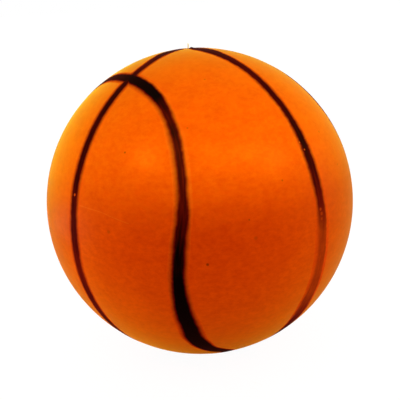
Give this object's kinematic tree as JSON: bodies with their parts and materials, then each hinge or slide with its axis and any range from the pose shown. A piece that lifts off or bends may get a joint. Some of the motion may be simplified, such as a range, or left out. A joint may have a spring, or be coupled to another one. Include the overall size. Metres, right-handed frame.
{
  "type": "rubber play ball",
  "caption": "Air-filled rubber play ball with a glossy orange cover, inlaid black eight-panel lines and a needle valve under the pole.",
  "frame": {"origin": "centre of the ball", "axes": "+Z from the centre out through the valve; the centre line lies in the plane x = 0 and the cross line in the plane y = 0; the loop that the picture shows lies about -X"},
  "size_m": [0.2158, 0.216, 0.219],
  "materials": {
    "cover_rubber": "glossy, moulded smooth",
    "line_rubber": "glossy black, worn thin in places",
    "bladder_rubber": "matt, talc-dusted",
    "valve_rubber": "satin, moulded",
    "core_rubber": "pale gum, satin"
  },
  "bodies": {
    "root": {"cover_upper": "cover_rubber", "cover_lower": "cover_rubber", "bladder": "bladder_rubber", "valve_housing": "valve_rubber", "valve_core": "core_rubber", "centre_line": "line_rubber", "loop_line_left": "line_rubber", "loop_line_right": "line_rubber", "cross_line_left_top": "line_rubber", "cross_line_left_middle": "line_rubber", "cross_line_left_bottom": "line_rubber", "cross_line_right_top": "line_rubber", "cross_line_right_middle": "line_rubber", "cross_line_right_bottom": "line_rubber"}
  },
  "joints": []
}
